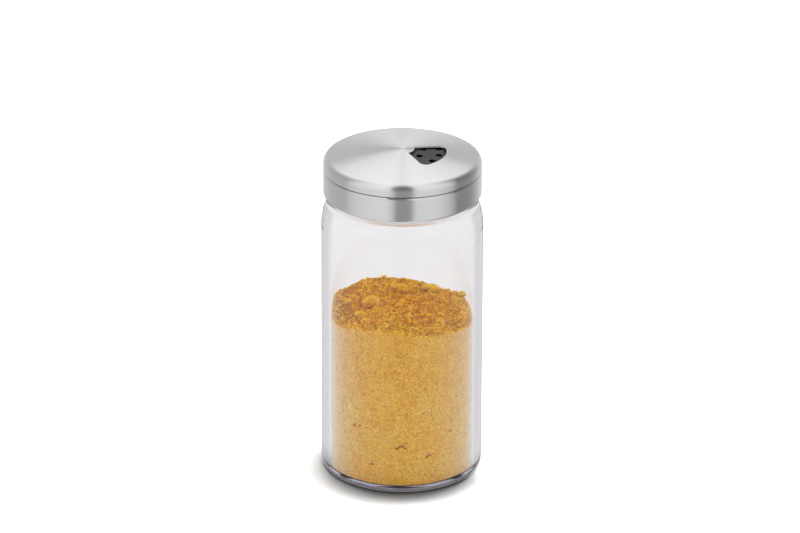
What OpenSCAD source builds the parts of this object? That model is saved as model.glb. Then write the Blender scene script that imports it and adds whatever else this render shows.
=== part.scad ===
// Glass spice shaker with a screw cap and a turning dial.
// Millimetres, +Z up, origin at the middle of the base. The dial has three stops, 120 degrees
// apart: sprinkle at 0 degrees (+X), pour at 120 and closed at 240.

/* [Jar] */
// Outer diameter of the glass body
jar_d = 50; // [49.5:0.25:54]
// Height of the flat shoulder above the table
shoulder_z = 88.7; // [78:0.1:110]
// Thickness of the glass wall
glass_wall = 2.9; // [2.4:0.1:3.4]
// Height of the jar's inner floor above the table, at the wall
floor_z = 1.5; // [1.3:0.1:3]
// Rise of the inner floor from the wall to the middle
floor_rise = 1; // [0.8:0.1:1.5]
// Depth of the hollow under the base
push_up = 0.8; // [0.4:0.1:1]
// Width of the flat ring that the jar stands on
foot_w = 4; // [3:0.25:6]
// Radius of the heel, where the wall meets the base
heel_r = 1.8; // [1.2:0.2:3]
// Radius of the corner between the inner wall and the inner floor
inner_heel_r = 0.6; // [0.4:0.1:1.6]
// Height of the long curve that draws the wall in under the shoulder
draw_h = 8.7; // [7.5:0.1:10]
// Radius of the long curve
draw_r = 21.6; // [20:0.2:30]
// Radius of the shoulder's top corner
shoulder_r = 1.5; // [0.8:0.1:1.8]
// Thickness of the glass under the shoulder
shoulder_t = 1.7; // [1.5:0.1:2.4]
// Radius of the corner between the inner wall and the underside of the shoulder
inner_shoulder_r = 3; // [2:0.25:4]

/* [Neck and thread] */
// Thickness of the neck's wall
neck_wall = 3.6; // [3:0.1:4.4]
// Height of the neck above the shoulder
neck_h = 8.5; // [8.2:0.1:10]
// Radius of the rounded lip of the mouth
lip_r = 0.7; // [0.4:0.1:1]
// Radius of the fillet at the foot of the neck
neck_fillet_r = 0.8; // [0.4:0.1:1]
// Height of the glass thread above the neck
thread_h = 1.1; // [0.8:0.05:1.1]
// Rise of the thread in one turn
pitch = 2.8; // [2.6:0.1:3]
// Turns of thread on the neck
neck_turns = 1.5; // [1.2:0.1:1.5]
// Turns of thread in the sleeve
sleeve_turns = 1.25; // [0.8:0.05:1.4]

/* [Cap] */
// Outer diameter of the collar and the dial
cap_d = 48.6; // [44:0.1:52]
// Thickness of the steel sheet
sheet_t = 0.4; // [0.3:0.05:0.45]
// Depth of the collar below the rim of the mouth
skirt_depth = 6.5; // [6.3:0.1:7.4]
// Height of the collar
collar_h = 7.9; // [7.7:0.1:9]
// Width of the collar's turned-in top edge
collar_turn_in = 1; // [0.8:0.1:1.2]
// Radius of the collar's rolled edges
collar_roll_r = 0.5; // [0.5:0.05:0.6]
// Thickness of the sleeve's wall, outside its thread
sleeve_wall = 2.4; // [1.8:0.1:2.6]
// Thickness of the gasket on the rim
gasket_t = 1.2; // [1:0.05:1.3]
// Width of the gasket, from its bore to its rim
gasket_w = 3.8; // [3:0.1:4.4]
// Thickness of the web that joins the cap's skirt to its shelf
web_t = 1; // [0.8:0.05:1.1]
// Thickness of the shelf that the sieve disc sits on
shelf_t = 2.2; // [2:0.05:2.3]

/* [Dial] */
// Height of the dial, from the edge of its skirt to the top of the dome
dial_h = 6.1; // [6:0.1:7]
// Radius of the dome
dome_r = 114; // [108:1:160]
// Radius of the dial's rolled edge
edge_r = 2.3; // [2.1:0.1:2.7]
// Gap at the seam between the collar and the dial
seam = 0.3; // [0.2:0.05:0.4]
// Gap between the dial's dome and the sieve disc
dial_gap = 0.3; // [0.2:0.05:0.4]
// Angle of the dial, away from its sprinkle stop
dial_turn = -11.5; // [-120:0.5:120]
// Inner radius of the window
window_inner_r = 3.6; // [3:0.1:6]
// Outer radius of the window
window_outer_r = 13.4; // [12:0.1:15]
// Angle that the window spans
window_span = 80; // [60:1:85]
// Radius of the window's outer corners
window_corner_r = 2.1; // [1:0.1:2.5]
// Thickness of the wall of the ring in the dial
ring_wall = 1.45; // [1.3:0.05:1.8]
// Thickness of the lugs that hold the dial down
lug_t = 0.9; // [0.7:0.05:1]
// Number of lugs
lug_count = 6; // [4:1:8]
// Angle that each lug spans
lug_span = 26; // [16:1:32]
// Depth of the click notches
notch_depth = 0.45; // [0.3:0.05:0.5]

/* [Sieve] */
// Thickness of the sieve plate
plate_t = 1.5; // [1.2:0.1:1.8]
// Thickness of the wall round the sieve disc
flange_wall = 1.75; // [1.5:0.05:2]
// Diameter of a sprinkle hole
hole_d = 2.1; // [1.5:0.1:2.4]
// Radius of the outer row of holes
outer_row_r = 11.3; // [10.8:0.1:11.6]
// Radius of the inner row of holes
inner_row_r = 6.4; // [6:0.1:7]
// Angle between the holes of the outer row
outer_row_step = 25.5; // [20:0.5:27]
// Angle between the holes of the inner row
inner_row_step = 50; // [40:0.5:52]
// Distance by which the pour opening stays inside the window
pour_inset = 0.5; // [0.3:0.1:1]

/* [Powder] */
// Height of the powder above the table, where its uneven top is lowest
powder_z = 51.6; // [20:0.2:70]
// Rise of the highest mound of its top
heap_h = 3.5; // [2:0.1:5]
// Diameter of the largest lump on the powder
lump_d = 5.8; // [3:0.2:7]

/* [Hidden] */
$fn = 96;
wide_fn = 480;     // for curves that are a small part of a large circle
thread_steps = 48; // sections of a thread in one turn
fade_angle = 40;   // a thread runs out to nothing over this angle at each end
stops = [0, 120, 240];

// Clearances
press_gap = 0.03;   // between pieces that are pressed together
seat_gap = 0.05;    // between flat faces that press on each other
slip_gap = 0.15;    // round a piece that turns in another
gasket_gap = 0.65;  // between the gasket's rim and the sleeve, for the thread to pass
powder_gap = 0.15;  // between the powder and the glass
thread_gap = 0.35;  // between a thread's crest and the wall that it faces
flank_gap = 0.1;    // between the flanks of the two threads

// Drawing aids
cut = 1;       // how far a cut runs past the face that it opens
root = 0.4;    // how far a raised piece is rooted in the wall that carries it
cross = 0.002; // lets curves cross that would only touch

// Jar
jar_r = jar_d / 2;
cavity_r = jar_r - glass_wall;
cavity_top = shoulder_z - shoulder_t;
rim_z = shoulder_z + neck_h;
// The long curves of the outside and the inside have the same centre. The corner above each,
// whose top is at z, touches it from inside, and this is the radius at which its centre lies.
draw_z = shoulder_z - draw_h;
draw_x = jar_r - draw_r;
function corner_at(r, z, corner_r) =
    draw_x + sqrt(pow(r - draw_x - corner_r, 2) - pow(z - corner_r - draw_z, 2));
// The hollow under the base is a shallow spherical dish.
foot_r = jar_r - heel_r - foot_w;
dish_r = (foot_r * foot_r + push_up * push_up) / (2 * push_up);
// The inner floor is a low dome.
floor_r = cavity_r - inner_heel_r;
floor_dome_r = (floor_r * floor_r + floor_rise * floor_rise) / (2 * floor_rise);

// From the cap's outside inwards: steel, sleeve, thread and neck
cap_r = cap_d / 2;
collar_bore_r = cap_r - sheet_t;
sleeve_r = collar_bore_r - press_gap;
sleeve_bore_r = sleeve_r - sleeve_wall;
neck_crest_r = sleeve_bore_r - thread_gap;
neck_r = neck_crest_r - thread_h;
sleeve_crest_r = neck_r + thread_gap;
mouth_r = neck_r - neck_wall;
// The fillet under the mouth takes what room the shoulder's underside leaves it.
under_mouth_w = corner_at(cavity_r, cavity_top, inner_shoulder_r) - mouth_r;
mouth_fillet_r = max(0.2, min(1.5, 0.9 * under_mouth_w));

// Thread: widths of the ridges are shares of the pitch
neck_root_w = 0.55 * pitch;
neck_crest_w = 0.28 * pitch;
sleeve_root_w = 0.42 * pitch;
sleeve_crest_w = 0.2 * pitch;
// The sleeve's ridge runs below the neck's. At the sleeve's crest the neck's ridge has this width.
meet_w = neck_root_w - (neck_root_w - neck_crest_w) * thread_gap / thread_h;
sleeve_offset = (meet_w + sleeve_crest_w) / 2 + flank_gap;
neck_thread_z = rim_z - lip_r - neck_root_w / 2 - neck_turns * pitch;

// Cap, from the collar upwards
collar_hem_r = cap_r - collar_turn_in;
collar_z = rim_z - skirt_depth;
collar_top = collar_z + collar_h;
sleeve_z = collar_z + sheet_t + press_gap;
lead_in = 0.5;
sleeve_thread_z = sleeve_z + lead_in + sleeve_root_w / 2;
sleeve_thread_a = 360 * (sleeve_thread_z + sleeve_offset - neck_thread_z) / pitch;
gasket_z = rim_z + seat_gap;
shelf_z = gasket_z + gasket_t + seat_gap;
web_z = shelf_z + web_t;
recess_z = shelf_z + shelf_t;
gasket_r = sleeve_bore_r - gasket_gap;
gasket_bore_r = gasket_r - gasket_w;

// Dome and rolled edge of the dial
dial_z = collar_top + seam;
top_z = dial_z + dial_h;
dome_z = top_z - dome_r;
edge_x = cap_r - edge_r;
edge_z = dome_z + sqrt(pow(dome_r - edge_r, 2) - edge_x * edge_x);
function dome_at(r, inset) = dome_z + sqrt(pow(dome_r - inset, 2) - r * r);

// Snap joint: the lugs of the dial's ring hook under the flange round the sleeve's recess
flange_hook = 0.85;
flange_bevel = 0.3;
ring_bore_r = collar_bore_r - press_gap - ring_wall;
flange_r = ring_bore_r - slip_gap;
groove_r = flange_r - flange_hook;
recess_r = flange_r - flange_wall;
disc_r = recess_r - press_gap;
flange_top = dome_at(flange_r, sheet_t + dial_gap);
ring_z = web_z + slip_gap;
lug_top = ring_z + lug_t;
lug_lead = 0.4;
flange_z = lug_top + slip_gap;

// Click: a nib on a springy bridge of the ring, and a notch in the flange for each stop.
// The nib is drawn as it rides on the flange, between two stops.
click_angle = 180; // from the middle of the window
nib_r = 0.45;
nib_h = 0.9;
bridge_t = 0.6;
bridge_span = 26;

// The disc is held by a bead on its rim and by keys under it, which keep it from turning
bead_h = 0.5;
bead_out = 0.22;
bead_z = recess_z + 0.75;
disc_foot_w = 2.6;
key_angles = [60, 180, 300];
key_size = [1.4, 2.4, 0.8];
key_x = disc_r - 2.4;

// Powder
powder_r = cavity_r - powder_gap;
powder_floor = floor_z + powder_gap;
// Mounds, each the cap of a sphere: angle, distance from the middle as a share of the powder's
// radius, rise as a share of the highest, and radius of the foot as a share of the powder's radius
mounds = [[155.5, 0.96, 0.66, 1.23], [184, 0.86, 1, 0.42], [29, 0.37, 0.37, 0.53], [269, 0.71, 0.54, 0.69]];
function mound_r(mound) = let(h = mound[2] * heap_h, foot = mound[3] * powder_r)
    (foot * foot + h * h) / (2 * h);
function mound_centre(mound) = [mound[1] * powder_r * cos(mound[0]), mound[1] * powder_r * sin(mound[0]),
    powder_z + mound[2] * heap_h - mound_r(mound)];
function mound_at(mound, x, y) =
    let(c = mound_centre(mound), d = norm([x - c[0], y - c[1]]), r = mound_r(mound))
    d < r ? c[2] + sqrt(r * r - d * d) : powder_z;
function heap_at(x, y) = max(powder_z, max([for (mound = mounds) mound_at(mound, x, y)]));
// Lumps: angle, distance from the middle as a share of the powder's radius, size as a share of
// the largest lump, and height of the lump's middle above the mounds as a share of its radius
lumps = [[192.5, 0.44, 1, 0], [101.5, 0.55, 0.8, 0], [67.5, 0.83, 0.75, 0], [26.5, 0.83, 0.75, 0],
    [28.5, 0.92, 0.42, 1], [109.5, 0.57, 0.6, 0.3], [74.5, 0.76, 0.55, 0.2], [216.5, 0.65, 0.5, 0],
    [159.5, 0.71, 0.5, 0], [329.5, 0.7, 0.48, 0], [237.5, 0.7, 0.45, 0], [193.5, 0.76, 0.42, 0],
    [118.5, 0.92, 0.36, 0.4], [351.5, 0.57, 0.42, 0], [296.5, 0.36, 0.42, 0], [261.5, 0.55, 0.45, 0]];
lump_inset = 0.6; // from the outermost point of a lump to the side of the powder

// Half section of a round bar on the axis, with its own corner radius at each end
module bar_section(r, low, high, low_r, high_r) {
    translate([0, low + low_r]) square([r, high - low - low_r - high_r]);
    translate([0, low]) square([r - low_r, low_r + cut]);
    translate([0, high - high_r - cut]) square([r - high_r, high_r + cut]);
    if (low_r > 0) translate([r - low_r, low + low_r]) circle(low_r + cross);
    if (high_r > 0) translate([r - high_r, high - high_r]) circle(high_r + cross);
}

// The small piece that fills a square corner at the origin with a hollow fillet
module fillet(r) {
    difference() {
        translate([-cross, -cross]) square(r + cross);
        translate([r, r]) circle(r + cross);
    }
}

// A slice of a disc about the +X axis
module sector(r, span) {
    reach = 2 * r;
    x = reach * cos(span / 2);
    y = reach * sin(span / 2);
    intersection() {
        circle(r);
        polygon([[0, 0], [x, -y], [x, y]]);
    }
}

// A fan between two radii about the +X axis, with round outer corners
module fan(inner_r, outer_r, span, corner_r) {
    corner_x = outer_r - corner_r;
    corner_a = asin(corner_r / corner_x);
    difference() {
        union() {
            sector(corner_x * cos(corner_a), span);
            sector(outer_r, span - 2 * corner_a);
            for (side = [-1, 1])
                rotate(side * (span / 2 - corner_a)) translate([corner_x, 0]) circle(corner_r + cross);
        }
        circle(inner_r);
    }
}

// A thread: a ridge wound upwards from low_z, starting at angle low_a and rooted in its wall.
// With its crest inside its root it is an internal thread.
module thread_ridge(root_r, crest_r, root_w, crest_w, low_z, low_a, turns) {
    inward = crest_r < root_r;
    base_r = root_r + (inward ? root : -root);
    base_w = root_w + (root_w - crest_w) * root / abs(crest_r - root_r);
    steps = ceil(turns * thread_steps);
    fade_steps = fade_angle / 360 * thread_steps;
    function rise(i) = 0.1 + 0.9 * min(1, i / fade_steps, (steps - i) / fade_steps);
    function profile(f) = let(
            r = base_r + (crest_r - base_r) * f,
            w = base_w + (crest_w - base_w) * f
        ) [[base_r, base_w / 2], [r, w / 2], [r, -w / 2], [base_r, -base_w / 2]];
    function section(i) = let(
            a = low_a + 360 * turns * i / steps,
            z = low_z + pitch * turns * i / steps,
            p = profile(rise(i))
        ) [for (k = inward ? [3:-1:0] : [0:3]) [p[k][0] * cos(a), p[k][0] * sin(a), z + p[k][1]]];
    points = [for (i = [0:steps]) each section(i)];
    sides = [for (i = [0:steps - 1], k = [0:3]) let(a = 4 * i + k, b = 4 * i + (k + 1) % 4)
            each [[a, a + 4, b + 4], [a, b + 4, b]]];
    ends = [[0, 1, 2, 3], [for (k = [3:-1:0]) 4 * steps + k]];
    polyhedron(points = points, faces = concat(sides, ends), convexity = 6);
}

// Half section of the jar's body, outside or inside: heel, wall, long curve and top corner
module body_section(r, low, low_r, high, high_r) {
    curve_r = r - draw_x;
    corner_x = corner_at(r, high, high_r);
    corner_z = high - high_r;
    touch_h = (corner_z - draw_z) * curve_r / (curve_r - high_r);
    bar_section(r, low, draw_z, low_r, 0);
    intersection() {
        translate([draw_x, draw_z]) circle(curve_r + cross, $fn = wide_fn);
        translate([0, draw_z - cut]) square([r, touch_h + cut]);
    }
    translate([0, draw_z]) square([corner_x, high - draw_z]);
    translate([corner_x, corner_z]) circle(high_r + 2 * cross);
}

// Section of the dome of the jar's inner floor, with its outline moved upwards by gap
module floor_dome(gap) {
    translate([0, floor_z + floor_rise - floor_dome_r]) circle(floor_dome_r + gap, $fn = wide_fn);
}

// Half section of the glass from outside, foot to rim
module jar_section() {
    body_section(jar_r, 0, heel_r, shoulder_z, shoulder_r);
    bar_section(neck_r, shoulder_z - cut, rim_z, 0, lip_r);
    translate([neck_r, shoulder_z]) fillet(neck_fillet_r);
}

// Half section of the space in the jar, floor to mouth
module cavity_section() {
    difference() {
        body_section(cavity_r, floor_z, inner_heel_r, cavity_top, inner_shoulder_r);
        floor_dome(0);
    }
    translate([0, cavity_top - cut]) square([mouth_r, rim_z - cavity_top + 2 * cut]);
    translate([mouth_r, cavity_top]) fillet(mouth_fillet_r);
    translate([mouth_r, rim_z]) mirror([0, 1]) fillet(lip_r);
}

module glass_jar() {
    color([0.9, 0.93, 0.94, 0.35])
    difference() {
        union() {
            rotate_extrude() jar_section();
            thread_ridge(neck_r, neck_crest_r, neck_root_w, neck_crest_w, neck_thread_z, 0, neck_turns);
        }
        rotate_extrude() cavity_section();
        translate([0, 0, push_up - dish_r]) sphere(dish_r, $fn = wide_fn);
    }
}

module spice_powder() {
    color([0.83, 0.6, 0.25]) {
        intersection() {
            rotate_extrude() difference() {
                bar_section(powder_r, powder_floor, powder_z + 2 * heap_h, inner_heel_r, 0);
                floor_dome(powder_gap);
            }
            union() {
                cylinder(r = jar_r, h = powder_z);
                for (mound = mounds) translate(mound_centre(mound)) sphere(mound_r(mound), $fn = wide_fn);
            }
        }
        for (lump = lumps) powder_lump(lump[0], lump[1] * powder_r, lump[2] * lump_d / 2, lump[3]);
    }
}

// A lump partly sunk in the mounds, and clear of the glass
module powder_lump(angle, distance, r, lift) {
    d = min(distance, powder_r - lump_inset - r);
    x = d * cos(angle);
    y = d * sin(angle);
    translate([x, y, heap_at(x, y) + lift * r]) sphere(r, $fn = 32);
}

module mouth_gasket() {
    color([0.93, 0.93, 0.9])
    translate([0, 0, gasket_z]) difference() {
        cylinder(r = gasket_r, h = gasket_t);
        translate([0, 0, -cut]) cylinder(r = gasket_bore_r, h = gasket_t + 2 * cut);
    }
}

// Half section of the sleeve: skirt, web, shelf, groove and flange
module sleeve_section() {
    step_z = collar_top - sheet_t - press_gap;
    difference() {
        union() {
            translate([0, sleeve_z]) square([sleeve_r, step_z - sleeve_z]);
            translate([0, step_z - cut]) square([collar_hem_r - press_gap, web_z - step_z + cut]);
            translate([0, web_z - cut]) square([groove_r, flange_z - web_z + 2 * cut]);
            translate([0, flange_z]) square([flange_r, flange_top - flange_bevel - flange_z]);
            translate([0, flange_top - flange_bevel]) polygon([[0, -cut], [flange_r, -cut], [flange_r, 0],
                [flange_r - flange_bevel, flange_bevel], [0, flange_bevel]]);
        }
        translate([0, sleeve_z - cut]) square([sleeve_bore_r, shelf_z - sleeve_z + cut]);
        translate([sleeve_bore_r, sleeve_z])
            polygon([[-cut, -cut], [lead_in + cut, -cut], [-cut, lead_in + cut]]);
        translate([0, shelf_z - cut]) square([gasket_bore_r, recess_z - shelf_z + 2 * cut]);
        translate([0, recess_z]) square([recess_r, top_z - recess_z]);
        bead_section(press_gap);
    }
}

// Section of the bead round the disc, with its outline moved outwards by gap
module bead_section(gap) {
    half_h = bead_h / 2 + gap + root;
    reach = bead_out * (1 + 2 * root / bead_h) + gap;
    translate([disc_r + bead_out + gap, bead_z]) polygon([[0, 0], [-reach, half_h], [-reach, -half_h]]);
}

// The keys under the disc, with their outline moved outwards by gap
module disc_keys(gap) {
    for (angle = key_angles) rotate(angle)
        translate([key_x - gap, -key_size[1] / 2 - gap, recess_z - key_size[2] - gap])
            cube([key_size[0] + 2 * gap, key_size[1] + 2 * gap, key_size[2] + gap + root]);
}

module click_notches() {
    notch_r = nib_r + slip_gap;
    for (stop = stops) rotate(stop + click_angle)
        translate([flange_r - notch_depth + notch_r, 0, flange_z - cut])
            cylinder(r = notch_r, h = top_z - flange_z);
}

module thread_sleeve() {
    color([0.1, 0.1, 0.1]) {
        difference() {
            rotate_extrude() sleeve_section();
            intersection() {
                click_notches();
                translate([0, 0, flange_z - slip_gap]) cylinder(r = cap_r, h = top_z - flange_z);
            }
            disc_keys(press_gap);
        }
        thread_ridge(sleeve_bore_r, sleeve_crest_r, sleeve_root_w, sleeve_crest_w,
            sleeve_thread_z, sleeve_thread_a, sleeve_turns);
    }
}

// Half section of the sieve disc: a domed plate with a thick rim that stands on the shelf
module disc_section() {
    low = recess_z + seat_gap;
    top_inset = sheet_t + dial_gap;
    difference() {
        intersection() {
            translate([0, dome_z]) circle(dome_r - top_inset, $fn = wide_fn);
            translate([0, low]) square([disc_r, top_z - low]);
        }
        intersection() {
            translate([0, dome_z]) circle(dome_r - top_inset - plate_t, $fn = wide_fn);
            translate([0, low - cut]) square([disc_r - disc_foot_w, top_z - low]);
        }
    }
    bead_section(0);
}

module sieve_hole(row_r, angle) {
    rotate(angle) translate([row_r, 0, recess_z]) cylinder(r = hole_d / 2, h = top_z - recess_z, $fn = 48);
}

// The pour opening keeps inside the window that uncovers it
module pour_opening() {
    span = window_span - 2 * asin(pour_inset / window_inner_r);
    rotate(stops[1]) translate([0, 0, recess_z]) linear_extrude(top_z - recess_z)
        fan(window_inner_r + pour_inset, window_outer_r - pour_inset, span, window_corner_r);
}

module sieve_disc() {
    color([0.13, 0.13, 0.13])
    difference() {
        union() {
            rotate_extrude() disc_section();
            disc_keys(0);
        }
        for (k = [-1:1]) sieve_hole(outer_row_r, k * outer_row_step);
        for (side = [-1, 1]) sieve_hole(inner_row_r, side * inner_row_step / 2);
        pour_opening();
    }
}

module collar_band() {
    color([0.75, 0.75, 0.74])
    rotate_extrude() difference() {
        bar_section(cap_r, collar_z, collar_top, collar_roll_r, collar_roll_r);
        translate([0, collar_z + sheet_t]) square([collar_bore_r, collar_h - 2 * sheet_t]);
        translate([0, collar_z - cut]) square([collar_bore_r - collar_roll_r, cut + 2 * sheet_t]);
        translate([0, collar_top - 2 * sheet_t]) square([collar_hem_r, cut + 2 * sheet_t]);
    }
}

// Half section of the dial from outside, moved inwards by inset and cut off at low_z
module dial_section(inset, low_z) {
    touch_x = edge_x * (dome_r - inset) / (dome_r - edge_r);
    roll_z = max(low_z, edge_z - edge_r / 2);
    intersection() {
        translate([0, dome_z]) circle(dome_r - inset, $fn = wide_fn);
        translate([0, low_z]) square([touch_x, top_z + cut - low_z]);
    }
    intersection() {
        translate([edge_x, edge_z]) circle(edge_r - inset + cross);
        translate([0, roll_z]) square([2 * cap_r, 2 * edge_r]);
    }
    translate([0, low_z]) square([cap_r - inset, edge_z - low_z]);
}

module dial_lugs() {
    lug_bore_r = groove_r + slip_gap;
    intersection() {
        rotate_extrude() translate([0, ring_z]) polygon([[lug_bore_r + lug_lead, 0], [ring_bore_r + root, 0],
            [ring_bore_r + root, lug_t], [lug_bore_r, lug_t], [lug_bore_r, lug_lead]]);
        translate([0, 0, ring_z - cut]) linear_extrude(lug_t + 2 * cut)
            for (k = [0:lug_count - 1]) rotate(360 / lug_count * (k + 0.5)) sector(cap_r, lug_span);
    }
}

module dial_ring() {
    color([0.1, 0.1, 0.1])
    rotate(dial_turn) {
        difference() {
            rotate_extrude() difference() {
                dial_section(sheet_t + press_gap, ring_z);
                translate([0, ring_z - cut]) square([ring_bore_r, top_z - ring_z + 2 * cut]);
            }
            // The slot behind the bridge gives it room to spring
            rotate(click_angle) translate([0, 0, ring_z - cut]) linear_extrude(top_z - ring_z) difference() {
                sector(cap_r, bridge_span);
                circle(ring_bore_r + bridge_t);
            }
        }
        dial_lugs();
        rotate(click_angle) translate([0, 0, flange_z]) linear_extrude(nib_h) intersection() {
            translate([flange_r + slip_gap / 2 + nib_r, 0]) circle(nib_r);
            circle(ring_bore_r + bridge_t / 2);
        }
    }
}

module dial_cover() {
    color([0.78, 0.78, 0.77])
    rotate(dial_turn) difference() {
        rotate_extrude() difference() {
            dial_section(0, dial_z);
            dial_section(sheet_t, dial_z - cut);
        }
        translate([0, 0, dial_z]) linear_extrude(dial_h + cut)
            fan(window_inner_r, window_outer_r, window_span, window_corner_r);
    }
}

glass_jar();
spice_powder();
mouth_gasket();
thread_sleeve();
sieve_disc();
collar_band();
dial_ring();
dial_cover();
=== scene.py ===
"""Looks of the spice shaker: glass jar, ground spice, plastic sieve and brushed steel dial cap."""
import math

import bpy
import bmesh
import numpy as np
from mathutils import Matrix, Vector


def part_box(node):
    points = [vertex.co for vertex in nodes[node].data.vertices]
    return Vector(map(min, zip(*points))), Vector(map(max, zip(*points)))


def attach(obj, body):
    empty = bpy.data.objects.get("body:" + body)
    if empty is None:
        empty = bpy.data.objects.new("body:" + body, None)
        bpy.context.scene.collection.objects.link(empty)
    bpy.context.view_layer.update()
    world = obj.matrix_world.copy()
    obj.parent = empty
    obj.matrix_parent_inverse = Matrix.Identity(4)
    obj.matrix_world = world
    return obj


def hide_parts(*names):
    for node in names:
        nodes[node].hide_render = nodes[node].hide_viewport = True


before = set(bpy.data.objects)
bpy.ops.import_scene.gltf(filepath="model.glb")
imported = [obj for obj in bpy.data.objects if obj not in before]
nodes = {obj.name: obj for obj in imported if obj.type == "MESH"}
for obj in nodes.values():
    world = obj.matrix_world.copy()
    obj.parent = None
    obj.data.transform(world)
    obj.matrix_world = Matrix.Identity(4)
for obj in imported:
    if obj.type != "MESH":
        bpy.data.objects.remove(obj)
bpy.context.view_layer.update()
MM = 0.001
WHITE = (1.0, 1.0, 1.0)

# The photograph's view: azimuth, elevation, roll and distance of the camera, size and focal length
# of the picture in pixels, and the pixel at which it shows the aim point
AZIMUTH = math.radians(11.5)
ELEVATION = math.radians(24.18)
ROLL = math.radians(0.24)
DISTANCE = 1.4467
IMAGE_W, IMAGE_H = 800, 533
FOCAL_PX = 4676.9
SENSOR_WIDTH = 36
AIM = Vector((0, 0, 0.052))
AIM_PX = (402.15, 307.1)

# Sizes of the spice and of the glass round it, in millimetres, from the CAD nodes
SPICE_LOW, SPICE_HIGH = (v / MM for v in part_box("spice_powder"))
GLASS_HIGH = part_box("glass_jar")[1] / MM
SPICE_R = SPICE_HIGH.x
GLASS_R = GLASS_HIGH.x
# Gap between the spice and the glass, and height of the neck above the shoulder
SPICE_GAP = 0.15
NECK_HEIGHT = 8.5
CAVITY_R = SPICE_R + SPICE_GAP
SHOULDER_Z = GLASS_HIGH.z - NECK_HEIGHT
# The neck and its thread lie within this radius, and the body's wall outside it
NECK_R = 21.2


# ---------------------------------------------------------------- noise, angles and mesh helpers

class Noise:
    """Smooth repeatable noise in space, about -1 to 1."""
    SIZE = 64

    def __init__(self, seed):
        rng = np.random.default_rng(seed)
        self.grid = rng.uniform(-1, 1, (self.SIZE,) * 3)

    def __call__(self, points, cell):
        p = np.asarray(points, float) / cell
        low = np.floor(p).astype(int)
        f = p - low
        f = f * f * (3 - 2 * f)
        total = np.zeros(len(p))
        for corner in range(8):
            step = np.array([corner & 1, corner >> 1 & 1, corner >> 2 & 1])
            i = (low + step) % self.SIZE
            share = np.prod(np.where(step, f, 1 - f), axis=1)
            total += share * self.grid[i[:, 0], i[:, 1], i[:, 2]]
        return total


def smooth(x, low, high):
    """0 up to low, 1 from high on, and an S curve between them."""
    t = np.clip((x - low) / (high - low), 0, 1)
    return t * t * (3 - 2 * t)


def seen_angle(angle):
    """An angle round the axis in degrees as the camera sees it: 0 to the right, 90 behind."""
    return (np.degrees(angle) - math.degrees(AZIMUTH)) % 360


def towards(angle, elevation):
    """Direction from the object to a place at this angle to the right of the camera's side."""
    a = AZIMUTH + angle
    level = math.cos(elevation)
    return Vector((math.sin(a) * level, -math.cos(a) * level, math.sin(elevation)))


def add_object(name, data):
    piece = bpy.data.objects.new(name, data)
    bpy.context.scene.collection.objects.link(piece)
    return piece


def new_mesh(name, points_mm, faces):
    mesh = bpy.data.meshes.new(name)
    mesh.from_pydata((np.asarray(points_mm) * MM).tolist(), [], faces)
    mesh.validate()
    mesh.polygons.foreach_set("use_smooth", [True] * len(mesh.polygons))
    mesh.update()
    return add_object(name, mesh)


def ball(level):
    """Points on a unit ball and its triangles."""
    b = bmesh.new()
    bmesh.ops.create_icosphere(b, subdivisions=level, radius=1)
    points = np.array([v.co[:] for v in b.verts])
    faces = [[v.index for v in f.verts] for f in b.faces]
    b.free()
    return points, faces


def join(forms):
    """Points and faces of many forms as one list of each."""
    points, faces, count = [], [], 0
    for form_points, form_faces in forms:
        points.append(form_points)
        faces += [[v + count for v in f] for f in form_faces]
        count += len(form_points)
    return np.concatenate(points), faces


def paint(piece, shade):
    """Stores each point's painted shade for the material: in cracks, pits and hollows, and on lumps'
    shaded faces.
    """
    layer = piece.data.attributes.new("hollow", "FLOAT", "POINT")
    layer.data.foreach_set("value", np.asarray(shade, dtype=np.float32))


# ---------------------------------------------------------------- node materials

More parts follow.
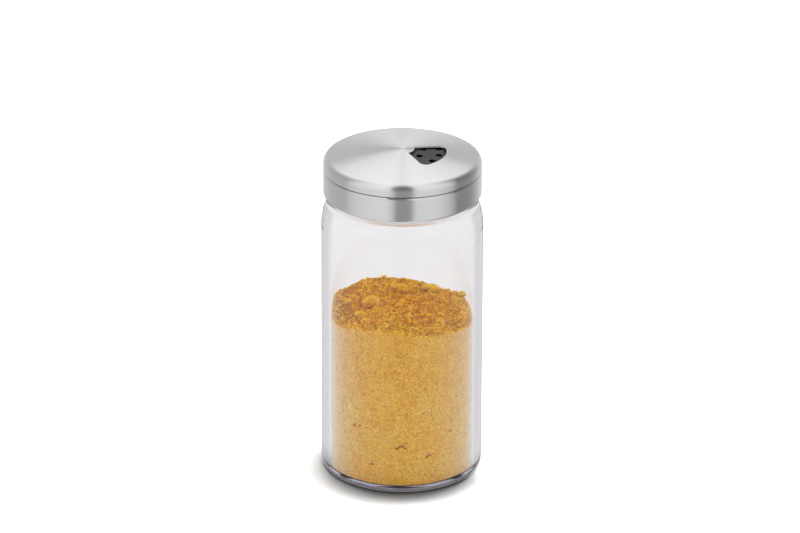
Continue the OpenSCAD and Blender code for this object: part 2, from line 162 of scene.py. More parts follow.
class Nodes:
    """Builds the node tree of a material or of the world from short calls."""

    def __init__(self, owner, output="OutputMaterial"):
        self.owner = owner
        owner.use_nodes = True
        self.tree = owner.node_tree
        self.tree.nodes.clear()
        self.out = self.add(output)

    def put(self, socket, value):
        """Links the socket to another node's output, or gives it a plain value."""
        if isinstance(value, bpy.types.NodeSocket):
            self.tree.links.new(value, socket)
        elif socket.type == "RGBA":
            socket.default_value = (*value, 1)
        else:
            socket.default_value = value

    def add(self, kind, settings=None, **inputs):
        """Adds a node. An input is named with _ for a space, or is _ and its number."""
        node = self.tree.nodes.new("ShaderNode" + kind)
        for key, value in (settings or {}).items():
            setattr(node, key, value)
        for key, value in inputs.items():
            key = int(key[1:]) if key[0] == "_" else key.replace("_", " ")
            self.put(node.inputs[key], value)
        return node

    def place(self):
        """Each point's own place in metres, from the middle of the foot."""
        return self.add("TexCoord").outputs["Object"]

    def xyz(self, vector):
        return self.add("SeparateXYZ", Vector=vector).outputs

    def vector(self, x, y, z):
        return self.add("CombineXYZ", X=x, Y=y, Z=z).outputs[0]

    def math(self, operation, a, b=0.0):
        return self.add("Math", {"operation": operation}, _0=a, _1=b).outputs[0]

    def dot(self, x, y, u, v):
        """x times u plus y times v."""
        return self.math("ADD", self.math("MULTIPLY", x, u), self.math("MULTIPLY", y, v))

    def length(self, x, y):
        return self.math("SQRT", self.dot(x, y, x, y))

    def fade(self, value, start, end, first=0.0, last=1.0, curve="LINEAR"):
        """Goes from first to last while the value goes from start to end, and stays there."""
        return self.add("MapRange", {"interpolation_type": curve}, Value=value, From_Min=start,
                        From_Max=end, To_Min=first, To_Max=last).outputs[0]

    def noise(self, vector, scale, detail, roughness):
        """Noise with that many cells in a metre."""
        return self.add("TexNoise", Vector=vector, Scale=scale, Detail=detail,
                        Roughness=roughness).outputs["Fac"]

    def bump(self, height, strength, distance):
        return self.add("Bump", Height=height, Strength=strength, Distance=distance).outputs[0]

    def ramp(self, fac, stops):
        """Colour between stops, each a place from 0 to 1 and its colour or grey."""
        node = self.add("ValToRGB", Fac=fac)
        elements = node.color_ramp.elements
        for i, (at, colour) in enumerate(stops):
            e = elements[i] if i < 2 else elements.new(at)
            e.position = at
            e.color = (colour, colour, colour, 1) if isinstance(colour, float) else (*colour, 1)
        return node.outputs["Color"]

    def mix(self, fac, a, b, blend="MIX"):
        node = self.add("Mix", {"data_type": "RGBA", "blend_type": blend}, _0=fac, _6=a, _7=b)
        return node.outputs[2]

    def tinted(self, colour, *tints):
        for tint in tints:
            colour = self.mix(1.0, colour, tint, "MULTIPLY")
        return colour

    def diffuse(self, colour):
        return self.add("BsdfDiffuse", Color=colour).outputs[0]

    def background(self, colour, strength):
        return self.add("Background", Color=colour, Strength=strength).outputs[0]

    def either(self, share, first, second):
        """The first shader where share is 0, the second where it is 1."""
        return self.add("MixShader", _0=share, _1=first, _2=second).outputs[0]

    def both(self, first, second):
        return self.add("AddShader", _0=first, _1=second).outputs[0]

    def finish(self, surface, volume=None):
        self.put(self.out.inputs["Surface"], surface)
        if volume:
            self.put(self.out.inputs["Volume"], volume)
        return self.owner


def new_material(name):
    return Nodes(bpy.data.materials.new(name))


def set_material(piece, material):
    piece.data.materials.clear()
    piece.data.materials.append(material)


# ---------------------------------------------------------------- camera

def make_camera():
    data = bpy.data.cameras.new("camera")
    data.sensor_fit = "HORIZONTAL"
    data.sensor_width = SENSOR_WIDTH
    data.lens = FOCAL_PX / IMAGE_W * SENSOR_WIDTH
    data.clip_start = 0.05
    data.clip_end = 50
    camera = add_object("camera", data)
    back = towards(0, ELEVATION)
    # Towards the aim point, then turned so that the aim point lands on its pixel
    facing = back.to_track_quat("Z", "Y").to_matrix()
    right = math.atan((AIM_PX[0] - IMAGE_W / 2) / FOCAL_PX)
    down = math.atan((AIM_PX[1] - IMAGE_H / 2) / FOCAL_PX)
    turn = Matrix.Rotation(right, 3, "Y") @ Matrix.Rotation(down, 3, "X")
    spin = Matrix.Rotation(ROLL, 3, "Z")
    place = Matrix.Translation(AIM + DISTANCE * back)
    camera.matrix_world = place @ (facing @ turn @ spin).to_4x4()
    bpy.context.scene.camera = camera


# ---------------------------------------------------------------- ground spice

# All lengths here are in millimetres, and all angles in degrees as the camera sees them.
# Height of the spice's top at the glass, by the angle, and in the middle
RIM_HEIGHTS = [(0, 51.5), (12, 52.0), (30, 52.6), (47, 51.4), (63, 51.2), (71, 52.2), (84, 52.6),
               (97, 52.9), (111, 53.6), (124, 54.4), (135, 53.9), (151, 54.0), (160, 54.8),
               (174, 55.6), (185, 54.6), (200, 52.4), (215, 51.8), (235, 52.8), (250, 54.1),
               (264, 54.2), (275, 53.2), (284, 52.4), (296, 51.9), (312, 51.8), (330, 50.8),
               (345, 51.0)]
MIDDLE_HEIGHT = 53.0
# Lumps: angle, distance from the middle, radius, rise of its middle above the heap
LUMPS = [(181, 9.7, 3.0, 0.7), (90, 12.1, 2.3, 0.3), (98, 12.6, 1.7, 0.6), (56, 18.2, 2.2, 0.3),
         (63, 16.6, 1.5, 0.5), (15, 18.2, 2.2, 0.3), (17, 20.2, 1.2, 1.6), (107, 20.0, 1.0, 0.5),
         (35, 20.3, 0.8, 0.5), (130, 19.8, 1.3, 0.5), (205, 14.2, 1.5, 0.1), (182, 16.6, 1.2, 0.2),
         (226, 15.4, 1.3, 0.0), (318, 15.4, 1.4, 0.1), (340, 12.4, 1.2, 0.0), (285, 8.0, 1.2, 0.0),
         (250, 12.0, 1.3, 0.0), (350, 18.8, 1.3, 0.2), (148, 15.6, 1.5, 0.3), (75, 19.6, 1.0, 0.4)]
# Cracks in the spice's side: angle, height, length, slope
CRACKS = [(269, 14.8, 4.8, -6), (291, 11.2, 2.8, 28), (231, 20.0, 1.8, -5), (236, 20.6, 1.2, 20),
          (247, 8.0, 1.0, 12), (311, 18.0, 1.0, 35), (120, 16.0, 3.0, 10), (60, 28.0, 2.4, -15)]
CRACK_WIDTH = 0.42
# Specks of dust on the inside of the glass: angle, height, radius
SPECKS = [(254, 66.0, 0.13), (282, 67.4, 0.1), (291, 68.4, 0.13), (285, 63.2, 0.1),
          (319, 62.0, 0.14), (300, 60.2, 0.09), (240, 61.0, 0.1), (266, 72.0, 0.08),
          (310, 57.6, 0.12), (228, 58.2, 0.1), (335, 60.6, 0.1), (275, 59.0, 0.08),
          (95, 60.0, 0.12), (60, 63.0, 0.1), (140, 58.4, 0.11), (170, 61.0, 0.09)]
# The heap's skin: points in a ring, rings of its bottom and heel, steps up its side, and the
# distance between the rings of its top
AROUND = 440
BOTTOM_RINGS, HEEL_RINGS, SIDE_STEPS = 16, 4, 150
TOP_SPACING = 0.26
# Its bottom follows the jar's inner floor: radius of the innermost ring and of the heel, rise to the
# middle, and how far it lies below the CAD solid
INNER_R = 1.5
HEEL_R = 0.5
FLOOR_RISE = 1.0
SINK = 0.1
# Its top edge lies this far down and in from where top and side would meet, and the side is loose
# over this height under the edge
EDGE_DOWN, EDGE_IN = 0.25, 0.12
LOOSE_BAND = 2.2
# Small crumbs on the top: their number, their smallest and largest radius, and how far they keep
# from the glass
CRUMBS = 900
SMALL_CRUMB, LARGE_CRUMB = 0.16, 0.76
CRUMB_GAP = 0.15
# Lumps from this radius up have less deep grains
LARGE_LUMP_R = 2.5
# The belts of colour up the spice's side end at this height
BELT_TOP = 60.0


def spice_height(x, y, noise):
    """Height of the spice's top, rough with crumbs, at each point, and the painted shade of its
    hollows.
    """
    angles, heights = zip(*RIM_HEIGHTS)
    rim = np.interp(seen_angle(np.arctan2(y, x)), angles, heights, period=360)
    share = np.hypot(x, y) / SPICE_R
    mound = MIDDLE_HEIGHT + (rim - MIDDLE_HEIGHT) * smooth(share, 0.25, 1.0)
    flat = np.c_[x, y, np.zeros_like(x)]
    rough = 0.5 * noise(flat, 6.5) + 0.8 * np.abs(noise(flat + 31, 3.4)) - 0.25
    crumbs = 0.9 * np.abs(noise(flat + 57, 1.7)) + 1.0 * np.abs(noise(flat + 83, 0.95)) - 0.55
    grains = 0.22 * noise(flat + 11, 0.55)
    # Calmer where it lies against the glass
    calm = 1 - 0.6 * smooth(share, 0.93, 1.0)
    # Painted shade, deepest in the low places between the crumbs
    hollow = np.clip(0.35 - crumbs - 0.4 * rough, 0, 1.5) * calm
    return mound + (rough + crumbs) * calm + grains, hollow


def crack_depth(seen, z, noise):
    """How near each point of the side lies to a crack, 0 to 1."""
    near = np.zeros_like(z)
    for angle, height, length, slope in CRACKS:
        turn = (np.radians(seen - angle) + math.pi) % (2 * math.pi) - math.pi
        right = turn * SPICE_R
        up = z - height
        c, s = math.cos(math.radians(slope)), math.sin(math.radians(slope))
        along = right * c + up * s
        off = up * c - right * s
        wave = 0.5 * noise(np.c_[along, np.full_like(along, angle), np.zeros_like(along)], 0.8)
        width = CRACK_WIDTH * np.clip(1 - (2 * along / length) ** 2, 0, 1)
        near = np.maximum(near, np.clip(1.3 * (width - np.abs(off - wave)) / 0.3, 0, 1))
    return near


def side_relief(points, seen, top, noise):
    """How deep points of the side lie in dents, pits, cracks and the loose edge, and the painted
    shade of its pits and cracks.
    """
    z = points[:, 2]
    dent = smooth(noise(points, 2.2) + 0.5 * noise(points + 9, 0.9), 0.3, 1.0)
    pit = smooth(np.abs(noise(points + 40, 1.1)) - 1.2 * np.abs(noise(points + 71, 5.5)), 0.5, 0.65)
    crack = crack_depth(seen, z, noise)
    loose = smooth(z, top - LOOSE_BAND, top) * np.abs(noise(points + 23, 1.3))
    depth = 0.10 * dent + 0.16 * pit + 0.5 * crack + 0.35 * loose
    return depth, np.clip(0.3 * pit + 2 * crack, 0, 2)


def skin_faces(rings):
    """Quads between rings of points, and fans to the two points after them, at foot and tip."""
    faces = []
    after = [(j + 1) % AROUND for j in range(AROUND)]
    for i in range(rings - 1):
        low, high = i * AROUND, (i + 1) * AROUND
        faces += [(low + j, low + k, high + k, high + j) for j, k in enumerate(after)]
    foot, tip, last = rings * AROUND, rings * AROUND + 1, (rings - 1) * AROUND
    faces += [(foot, k, j) for j, k in enumerate(after)]
    faces += [(tip, last + j, last + k) for j, k in enumerate(after)]
    return faces


def make_heap(noise):
    """The ground spice as one closed skin."""
    angles = np.arange(AROUND) * 2 * math.pi / AROUND
    c, s = np.cos(angles), np.sin(angles)
    rings, shades = [], []

    def ring(r, z, shade=0.0):
        rings.append(np.c_[r * c, r * s, z + np.zeros(AROUND)])
        shades.append(shade + np.zeros(AROUND))

    # Domed bottom and heel
    bottom = SPICE_LOW.z - SINK
    flat_r = SPICE_R - HEEL_R
    for r in np.linspace(INNER_R, flat_r, BOTTOM_RINGS):
        ring(r, bottom + FLOOR_RISE * (1 - (r / flat_r) ** 2))
    for k in range(1, HEEL_RINGS + 1):
        a = k / HEEL_RINGS * math.pi / 2
        ring(flat_r + HEEL_R * math.sin(a), bottom + HEEL_R - HEEL_R * math.cos(a))
    # Side, pressed against the glass
    low = bottom + HEEL_R
    top = spice_height(SPICE_R * c, SPICE_R * s, noise)[0]
    edge = top - EDGE_DOWN
    for k in range(1, SIDE_STEPS):
        z = low + (edge - low) * k / SIDE_STEPS
        depth, shade = side_relief(np.c_[SPICE_R * c, SPICE_R * s, z], seen_angle(angles), top, noise)
        ring(SPICE_R - depth, z, shade)
    # Top, from the glass to the middle, with painted shade in its hollows
    top_r = SPICE_R - EDGE_IN
    for k in range(int(top_r / TOP_SPACING)):
        r = top_r - k * TOP_SPACING
        height, hollow = spice_height(r * c, r * s, noise)
        ring(r, height, np.minimum(hollow, 1))
    ends = [[0, 0, bottom + FLOOR_RISE], [0, 0, rings[-1][:, 2].mean()]]
    spice = new_mesh("ground_spice", np.vstack([*rings, ends]), skin_faces(len(rings)))
    paint(spice, np.r_[np.concatenate(shades), 0, 0])
    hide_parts("spice_powder")
    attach(spice, "jar")
    return spice


def lump_form(unit, r, seed, noise):
    """Growth of a lump's points and their painted shade: between its grains, and on its front and
    lower faces.
    """
    at = unit * r + seed
    grain = np.abs(noise(at + 5, 0.75)) * (1 if r < LARGE_LUMP_R else 0.6)
    grains = 0.55 * grain + 0.12 * noise(at + 9, 0.35)
    grow = 0.86 + 0.22 * noise(at, 0.8 * r) + grains / r
    # Painted shade on the front and lower faces, as if lit from behind and above
    back = unit[:, 1] * math.cos(AZIMUTH) - unit[:, 0] * math.sin(AZIMUTH)
    painted_lower_shade = np.clip(0.15 - 0.45 * back - 0.55 * unit[:, 2], 0, 0.7)
    return grow, np.clip(0.3 - 2.2 * grain, 0, 1) + painted_lower_shade


def inside_glass(points):
    """Draws points in to where the spice's side is, so that nothing reaches into the glass."""
    out = np.hypot(points[:, 0], points[:, 1])
    points[:, :2] *= np.minimum(1, (SPICE_R - 0.05) / np.maximum(out, 1e-6))[:, None]
    return points


def make_lumps(noise):
    """The lumps in their places and small crumbs strewn at random, all on the heap's top."""
    rng = np.random.default_rng(11)
    fine, coarse = ball(5), ball(2)
    todo = [(math.radians(a) + AZIMUTH, d, r, up, fine) for a, d, r, up in LUMPS]
    for _ in range(CRUMBS):
        r = SMALL_CRUMB + (LARGE_CRUMB - SMALL_CRUMB) * rng.random() ** 3.5
        d = (SPICE_R - r - CRUMB_GAP) * math.sqrt(rng.random())
        todo.append((rng.random() * 2 * math.pi, d, r, r * rng.uniform(-0.2, 0.5), coarse))
    forms, shades = [], []
    for a, d, r, up, (unit, faces) in todo:
        squeeze = [rng.uniform(0.85, 1.15), rng.uniform(0.85, 1.15), rng.uniform(0.6, 0.85)]
        seed = rng.uniform(0, 60, 3)
        if unit is fine[0]:
            grow, shade = lump_form(unit, r, seed, noise)
        else:
            grow = 1 + 0.3 * noise(unit * r + seed, 0.9 * r)
            # Each crumb is darker by a random amount, stored with the painted shade
            shade = np.full(len(unit), rng.uniform(0, 0.35))
        x, y = d * math.cos(a), d * math.sin(a)
        z = spice_height(np.array([x]), np.array([y]), noise)[0][0] + up
        points = unit * grow[:, None] * squeeze * r + [x, y, z]
        forms.append((inside_glass(points), faces))
        shades.append(shade)
    lumps = new_mesh("spice_lumps", *join(forms))
    paint(lumps, np.concatenate(shades))
    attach(lumps, "jar")
    return lumps


def make_dust(noise):
    """Flat specks that stick to the inside of the glass."""
    unit, faces = ball(2)
    forms = []
    for a, z, r in SPECKS:
        a = math.radians(a) + AZIMUTH
        out = np.array([math.cos(a), math.sin(a), 0])
        speck = unit * (1 + 0.35 * noise(unit * 3 + a * 7, 1.0))[:, None] * r
        # Flattened against the glass
        flat = speck - np.outer(speck @ out, out) * 0.72
        forms.append((flat + out * (CAVITY_R - 0.10) + [0, 0, z], faces))
    points, faces = join(forms)
    dust = new_mesh("glass_dust", points, faces)
    paint(dust, np.zeros(len(points)))
    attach(dust, "jar")
    return dust


def make_spice():
    noise = Noise(7)
    spice, lumps, dust = make_heap(noise), make_lumps(noise), make_dust(noise)
    loose = spice_material("ground_spice", (1.20, 1.145, 0.48), 0.75)
    set_material(spice, loose)
    set_material(dust, loose)
    set_material(lumps, spice_material("spice_lumps", (1.02, 1.09, 0.66), 0.15))


def grain_colour(n, place):
    """Grains of several colours, in paler and deeper patches, with dark flakes."""
    grain = n.ramp(n.noise(place, 2100.0, 2.0, 0.7),
                   [(0.30, (0.62, 0.27, 0.015)), (0.43, (0.88, 0.45, 0.038)),
                    (0.55, (1.0, 0.60, 0.075)), (0.70, (1.0, 0.86, 0.27))])
    patch = n.ramp(n.noise(place, 330.0, 3.0, 0.6),
                   [(0.34, (0.90, 0.80, 0.62)), (0.5, (0.97, 0.94, 0.88)), (0.66, WHITE)])
    # A paler belt half-way up, and a deeper foot
    wave = n.math("MULTIPLY", n.noise(place, 60.0, 2.0, 0.5), 0.012)
    level = n.math("ADD", n.xyz(place)["Z"], wave)
    belt = n.ramp(n.math("DIVIDE", level, BELT_TOP * MM),
                  [(0.12, (0.96, 0.88, 0.66)), (0.20, (1.0, 0.97, 0.84)), (0.45, WHITE),
                   (0.65, WHITE), (0.80, (1.0, 0.96, 0.84))])
    wide = n.ramp(n.noise(place, 95.0, 2.0, 0.5),
                  [(0.38, (1.0, 0.95, 0.80)), (0.62, (1.0, 1.02, 1.10))])
    flakes = n.ramp(n.noise(place, 1100.0, 1.0, 0.5), [(0.27, (0.64, 0.50, 0.36)), (0.32, WHITE)])
    return n.tinted(grain, patch, belt, wide, flakes)


def spice_material(name, top_tint, crumb_shade):
    """Ground spice: the tint of its loose top, and how much painted shade shows between its crumbs
    there, 0 to 1.
    """
    n = new_material(name)
    place = n.place()
    colour = grain_colour(n, place)
    # Painted sheen: the side turns paler where it is seen edge-on
    facing = n.add("LayerWeight", Blend=0.5).outputs["Facing"]
    painted_sheen = n.ramp(facing, [(0.08, 0.03), (0.24, 0.10), (0.40, 0.24), (0.60, 0.42), (0.80, 0.78),
                            (1.0, 1.0)])
    side = n.mix(painted_sheen, colour, (0.92, 0.84, 0.66))
    # The top is deeper in colour, paler towards the glass, and has painted shade between its crumbs
    x, y, _ = n.xyz(place)
    rim = n.fade(n.length(x, y), 0.55 * SPICE_R * MM, SPICE_R * MM)
    top = n.tinted(colour, top_tint)
    top = n.mix(rim, top, n.tinted(top, (1.15, 1.30, 1.8)))
    crumb = n.add("TexVoronoi", Vector=place, Scale=1150.0, Randomness=1.0).outputs["Distance"]
    painted_gap_shade = n.ramp(crumb, [(0.25, (1.06, 1.04, 1.0)), (0.62, (0.58, 0.46, 0.32))])
    top = n.mix(crumb_shade, top, n.tinted(top, painted_gap_shade))
    up = n.xyz(n.add("NewGeometry").outputs["Normal"])["Z"]
    colour = n.mix(n.fade(up, 0.1, 0.5), side, top)
    # Painted shade in cracks, pits and hollows and on the lumps' shaded faces, where the painted
    # value goes from 0 to 2
    hollow = n.add("Attribute", {"attribute_name": "hollow"}).outputs["Fac"]
    for depth in (hollow, n.math("SUBTRACT", hollow, 1.0)):
        colour = n.mix(depth, colour, n.tinted(colour, (0.62, 0.43, 0.26)))
    grit = n.bump(n.noise(place, 2600.0, 3.0, 0.6), 0.5, 0.0002)
    shader = n.add("BsdfPrincipled", Base_Color=colour, Roughness=0.95, Normal=grit,
                   Specular_IOR_Level=0.08, Sheen_Weight=0.06, Sheen_Roughness=0.5,
                   Sheen_Tint=(1.0, 0.93, 0.85))
    return n.finish(shader.outputs[0])


# ---------------------------------------------------------------- finishes of the CAD nodes

# Painted shade on the glass's outer face: the share of its colour kept, from seen head-on (0) to
# edge-on (1)
PAINTED_EDGE_SHADE = [(0.10, 0.95), (0.35, 0.965), (0.50, 1.0), (0.545, 1.0), (0.572, 0.90), (0.597, 0.80),
         (0.644, 0.66), (0.738, 0.645), (0.80, 0.60), (0.915, 0.42), (1.0, 0.42)]
# Heights between which the painted shade of the thick foot ends, in millimetres
FOOT_SHADE_FADE = (1.4, 2.1)
# Reach of the painted shade in the sieve's holes, in metres
HOLE_SHADE_REACH = 0.0024


def above_shoulder(rise):
    """Height of a place this far above the jar's shoulder in millimetres, in metres."""
    return (SHOULDER_Z + rise) * MM


def glass_material():
    n = new_material("clear_glass")
    x, y, z = n.xyz(n.place())
    radius = n.length(x, y)
    # The body's wall is turned, so its normal follows from the place. The rest keeps its own
    normal = n.add("NewGeometry").outputs["Normal"]
    nx, ny, nz = n.xyz(normal)
    side = n.math("SIGN", n.dot(nx, ny, x, y))

    def turned(up, outward):
        """Normal of a turned face: its upward part, and 1 for an outer or -1 for an inner face."""
        level = n.math("SQRT", n.math("SUBTRACT", 1.0, n.math("MULTIPLY", up, up)))
        scale = n.math("MULTIPLY", outward, n.math("DIVIDE", level, radius))
        return n.vector(n.math("MULTIPLY", x, scale), n.math("MULTIPLY", y, scale), up)

    normal = n.mix(n.math("GREATER_THAN", radius, NECK_R * MM), normal, turned(nz, side))
    # Painted shade: the outer face greys where it is seen edge-on, and counts as upright where it
    # draws in.
    # The thick foot has painted shade
    upright = turned(n.math("MINIMUM", n.math("MULTIPLY", nz, side), 0.0), 1.0)
    facing = n.add("LayerWeight", Blend=0.5, Normal=upright).outputs["Facing"]
    painted_edge_shade = n.ramp(facing, [(at, (g, g - 0.05 * (1 - g), g)) for at, g in PAINTED_EDGE_SHADE])
    outer = n.math("GREATER_THAN", radius, (GLASS_R + CAVITY_R) / 2 * MM)
    clear = n.fade(z, FOOT_SHADE_FADE[0] * MM, FOOT_SHADE_FADE[1] * MM)
    colour = n.tinted(n.mix(outer, WHITE, painted_edge_shade), n.mix(clear, (0.46, 0.43, 0.42), WHITE))
    # The moulded shoulder is not quite clear
    rough = n.fade(z, above_shoulder(-1.5), above_shoulder(0.3), 0.0, 0.3, "SMOOTHSTEP")
    glass = n.add("BsdfPrincipled", Base_Color=colour, Roughness=rough, IOR=1.5, Normal=normal,
                  Transmission_Weight=1.0, Specular_Tint=(0.5, 0.5, 0.5)).outputs[0]
    tint = n.add("VolumeAbsorption", Color=(0.79, 0.775, 0.81), Density=80.0).outputs[0]
    # Painted light: a pale ring at the root of the neck, part white diffuse and part glow
    rising = n.fade(z, above_shoulder(-0.3), above_shoulder(0.3), 0.0, 0.75)
    falling = n.fade(z, above_shoulder(2.5), above_shoulder(1.5))
    glow = n.add("Emission", Color=(1.0, 0.97, 0.98), Strength=0.55).outputs[0]
    painted_glow_ring = n.both(n.diffuse((0.45, 0.44, 0.45)), glow)
    return n.finish(n.either(n.math("MULTIPLY", rising, falling), glass, painted_glow_ring), tint)


def steel_material(name):
    n = new_material(name)
    x, y, z = n.xyz(n.place())
    # Brush marks run round the axis: fine across them, long along them
    turn = n.math("MULTIPLY", n.math("ARCTAN2", y, x), 0.0009)
    marks = n.vector(n.length(x, y), turn, z)
    fine = n.noise(marks, 9000.0, 2.0, 0.65)
    wide = n.noise(marks, 1500.0, 3.0, 0.6)
    colour = n.ramp(n.dot(fine, wide, 0.55, 0.45),
                    [(0.30, (0.72, 0.72, 0.725)), (0.70, (0.80, 0.80, 0.805))])
    tangent = n.add("Tangent", {"direction_type": "RADIAL", "axis": "Z"}).outputs[0]
    shader = n.add("BsdfPrincipled", Base_Color=colour, Metallic=1.0,
                   Roughness=n.fade(wide, 0.0, 1.0, 0.26, 0.32), Normal=n.bump(fine, 0.15, 0.00001),
                   Anisotropic=1.0, Anisotropic_Rotation=0.25, Tangent=tangent)
    return n.finish(shader.outputs[0])


def moulded_shader(n, colour, roughness, grain, gloss=0.5):
    """Plastic or rubber with a fine moulded grain, slightly uneven in colour and roughness."""
    place = n.place()
    spots = n.noise(place, 2500.0, 2.0, 0.5)
    shade = n.ramp(n.noise(place, 300.0, 2.0, 0.5),
                   [(0.3, [0.85 * v for v in colour]), (0.7, [1.15 * v for v in colour])])
    rough = n.fade(spots, 0.0, 1.0, roughness - 0.06, roughness + 0.06)
    return n.add("BsdfPrincipled", Base_Color=shade, Roughness=rough,
                 Normal=n.bump(spots, grain, 0.00003), Specular_IOR_Level=gloss).outputs[0]


def plastic_material(name, colour, roughness, grain):
    n = new_material(name)
    return n.finish(moulded_shader(n, colour, roughness, grain))


def sieve_material():
    """The sieve's plastic, with painted shade that turns it black down in its holes."""
    n = new_material("sieve_plastic")
    plastic = moulded_shader(n, (0.028, 0.028, 0.029), 0.5, 0.3, gloss=0.3)
    open_air = n.add("AmbientOcclusion", {"samples": 8}, Distance=HOLE_SHADE_REACH).outputs["AO"]
    # Painted shade: black where little open air reaches, down in the holes
    black = n.diffuse((0.003, 0.003, 0.003))
    return n.finish(n.either(n.fade(open_air, 0.85, 0.6), plastic, black))


# ---------------------------------------------------------------- stage and light

# The floor: half its side and how far it lies below the foot, in millimetres
FLOOR_HALF = 4000.0
FLOOR_DROP = 0.1
# Reach of the contact shadow in metres, and its grey by how open the floor is there
SHADOW_REACH = 0.0115
SHADOW = [(0.30, 0.03), (0.45, 0.07), (0.50, 0.15), (0.56, 0.275), (0.62, 0.43), (0.70, 0.58),
          (0.80, 0.70), (0.88, 0.78), (0.95, 0.84), (1.0, 1.0)]
# The floor's openness is measured round a direction with these parts to the right, to the back and
# up, as the camera sees it. It leans back, so the shadow is darkest in front
LEAN_RIGHT, LEAN_BACK, LEAN_UP = 0.03, 0.93, 0.52
# The shadow's middle lies this far to the left of the camera's side
SHADOW_LEFT = math.radians(18)


def shadow_grey(n):
    """Soft contact shadow: how much the object hides close by, most on its front left."""
    c, s = math.cos(AZIMUTH), math.sin(AZIMUTH)
    lean = n.vector(LEAN_RIGHT * c - LEAN_BACK * s, LEAN_RIGHT * s + LEAN_BACK * c, LEAN_UP)
    near = n.add("AmbientOcclusion", {"samples": 8}, Distance=SHADOW_REACH, Normal=lean)
    shade = n.ramp(near.outputs["AO"], SHADOW)
    # It fades out round the right side, which faces the light
    outwards = n.add("VectorMath", {"operation": "NORMALIZE"}, _0=n.place()).outputs[0]
    x, y, _ = n.xyz(outwards)
    a = AZIMUTH - SHADOW_LEFT
    front = n.dot(x, y, math.sin(a), -math.cos(a))
    return n.mix(n.fade(front, -0.35, 0.4, curve="SMOOTHSTEP"), WHITE, shade)


def floor_material():
    """White to the camera, light grey as a reflector, and glowing as seen through the glass."""
    n = new_material("pale_floor")
    path = n.add("LightPath").outputs
    shade = shadow_grey(n)
    plain = n.diffuse(n.tinted(shade, (0.85, 0.85, 0.85)))
    more = n.diffuse(n.tinted(shade, (0.75, 0.75, 0.75)))
    surface = n.either(path["Is Camera Ray"], plain, n.both(plain, more))
    glow = n.add("Emission", Color=shade, Strength=1.0).outputs[0]
    through = n.math("MAXIMUM", path["Is Transmission Ray"], path["Is Glossy Ray"])
    return n.finish(n.either(through, surface, glow))


def make_floor():
    corners = [[x * FLOOR_HALF, y * FLOOR_HALF, -FLOOR_DROP] for x, y in
               ((-1, -1), (1, -1), (1, 1), (-1, 1))]
    floor = new_mesh("floor", corners, [(0, 1, 2, 3)])
    set_material(floor, floor_material())
    floor.visible_glossy = False


# Brightness of the studio that polished and brushed surfaces mirror, below and above eye level,
# by the angle from the camera's side to the right (negative to the left)
LOW_WALLS = [(-180, 0.70), (-160, 0.76), (-145, 0.70), (-134, 0.62), (-126, 0.58), (-118, 0.57),
             (-96, 0.55), (-88, 0.56), (-84, 0.70), (-76, 0.77), (-62, 0.81), (-36, 0.86),
             (-24, 0.84), (-17, 0.80), (-13, 0.72), (-10, 0.40), (13.5, 0.40), (17, 0.76),
             (24, 0.80), (47, 0.84), (60, 0.76), (74, 0.66), (79, 0.56), (83.5, 0.31), (110, 0.31),
             (120, 0.38), (131, 0.50), (140, 0.71), (150, 0.82), (162, 0.75), (180, 0.70)]
HIGH_WALLS = [(-180, 0.57), (-150, 0.57), (-130, 0.48), (-120, 0.40), (-92, 0.37), (-86, 0.37),
              (-82, 0.85), (-70, 1.05), (-30, 1.10), (-18, 1.00), (-15.5, 0.10), (16, 0.10),
              (18.5, 1.00), (40, 1.10), (72, 1.00), (81, 0.85), (84, 0.11), (118, 0.14),
              (130, 0.33), (145, 0.55), (180, 0.57)]
# Brightness of the ceiling, and how fast its edge drops towards the back
CEILING = (1.35, 1.35, 1.35)
CEILING_SLOPE = 0.59
# The lamps: angle from the camera's side to the right, elevation, distance, size, watts
LAMPS = {"key": (140, 55, 1.2, 0.5, 5),
         "fill": (-50, 40, 1.4, 0.8, 3),
         "front": (12, 30, 1.4, 0.9, 8)}
# How often light may bend in the jar's walls or be mirrored
BOUNCES = 40


def mirrored_studio(n, z, front, right):
    """What polished surfaces mirror: walls of two heights and a bright ceiling."""
    turn = n.math("MULTIPLY", n.math("ARCTAN2", right, front), 0.5 / math.pi)
    share = n.math("ADD", turn, 0.5)
    low, high = (n.ramp(share, [((a + 180) / 360, grey) for a, grey in walls])
                 for walls in (LOW_WALLS, HIGH_WALLS))
    walls = n.mix(n.fade(z, -0.1, 0.45, curve="SMOOTHSTEP"), low, high)
    # The ceiling reaches from overhead down to a low edge behind the object
    slope = n.math("SUBTRACT", z, n.math("MULTIPLY", front, CEILING_SLOPE))
    return n.mix(n.fade(slope, 0.93, 1.06, curve="SMOOTHSTEP"), walls, CEILING)


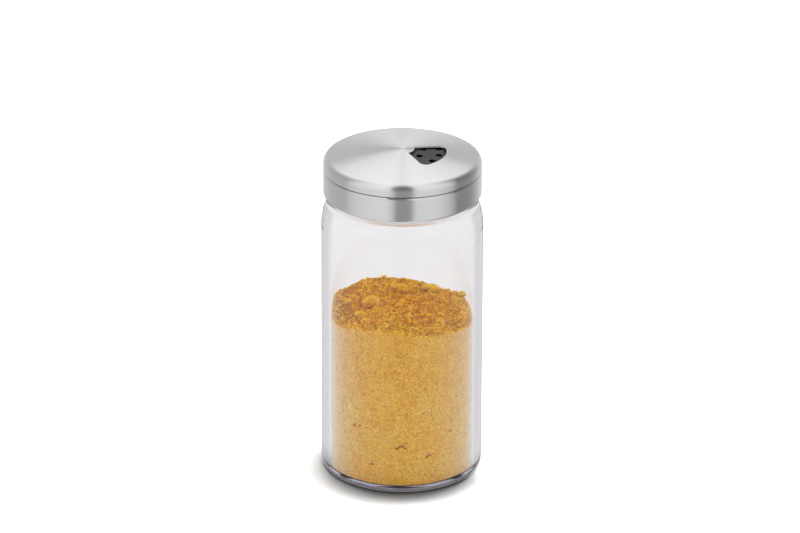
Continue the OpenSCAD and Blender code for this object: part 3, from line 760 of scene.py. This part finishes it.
def make_world():
    world = bpy.data.worlds.new("studio")
    bpy.context.scene.world = world
    n = Nodes(world, "OutputWorld")
    path = n.add("LightPath").outputs
    x, y, z = n.xyz(n.add("TexCoord").outputs["Generated"])
    # Parts of the direction that point to the camera's side and to its right
    c, s = math.cos(AZIMUTH), math.sin(AZIMUTH)
    front = n.dot(x, y, s, -c)
    right = n.dot(x, y, c, s)
    studio = n.background(mirrored_studio(n, z, front, right), 1.0)
    light = n.either(path["Is Glossy Ray"], n.background(WHITE, 0.8), studio)
    # A white ground, seen past the object and through its glass
    seen = n.math("MAXIMUM", path["Is Camera Ray"], path["Is Transmission Ray"])
    light = n.either(seen, light, n.background(WHITE, 1.0))
    # What falls on the spice through the glass comes mostly from behind
    inside = n.math("MULTIPLY", n.math("GREATER_THAN", path["Diffuse Depth"], 0.5),
                    n.math("GREATER_THAN", path["Transmission Depth"], 0.5))
    level = n.fade(front, 0.3, -0.6, 1.75, 2.9, "SMOOTHSTEP")
    n.finish(n.either(inside, light, n.background(WHITE, level)))


def make_lamp(name, angle, elevation, distance, size, watts):
    """An area lamp aimed at the object. Neither the camera, the steel nor the glass shows it."""
    data = bpy.data.lights.new(name, "AREA")
    data.shape = "DISK"
    data.size = size
    data.energy = watts
    lamp = add_object(name, data)
    back = towards(math.radians(angle), math.radians(elevation))
    facing = back.to_track_quat("Z", "Y").to_matrix().to_4x4()
    lamp.matrix_world = Matrix.Translation(AIM + distance * back) @ facing
    lamp.visible_glossy = lamp.visible_transmission = lamp.visible_camera = False


def set_render():
    scene = bpy.context.scene
    scene.view_settings.view_transform = "Standard"
    scene.cycles.max_bounces = BOUNCES
    scene.cycles.transmission_bounces = BOUNCES
    scene.cycles.glossy_bounces = BOUNCES


# ---------------------------------------------------------------- the scene

make_camera()
make_spice()
set_material(nodes["glass_jar"], glass_material())
set_material(nodes["dial_cover"], steel_material("dial_steel"))
set_material(nodes["collar_band"], steel_material("collar_steel"))
set_material(nodes["sieve_disc"], sieve_material())
black = plastic_material("black_plastic", (0.022, 0.022, 0.023), 0.42, 0.2)
set_material(nodes["dial_ring"], black)
set_material(nodes["thread_sleeve"], black)
set_material(nodes["mouth_gasket"], plastic_material("silicone", (0.72, 0.71, 0.68), 0.45, 0.1))
make_floor()
make_world()
for lamp_name, lamp_setup in LAMPS.items():
    make_lamp(lamp_name, *lamp_setup)
set_render()
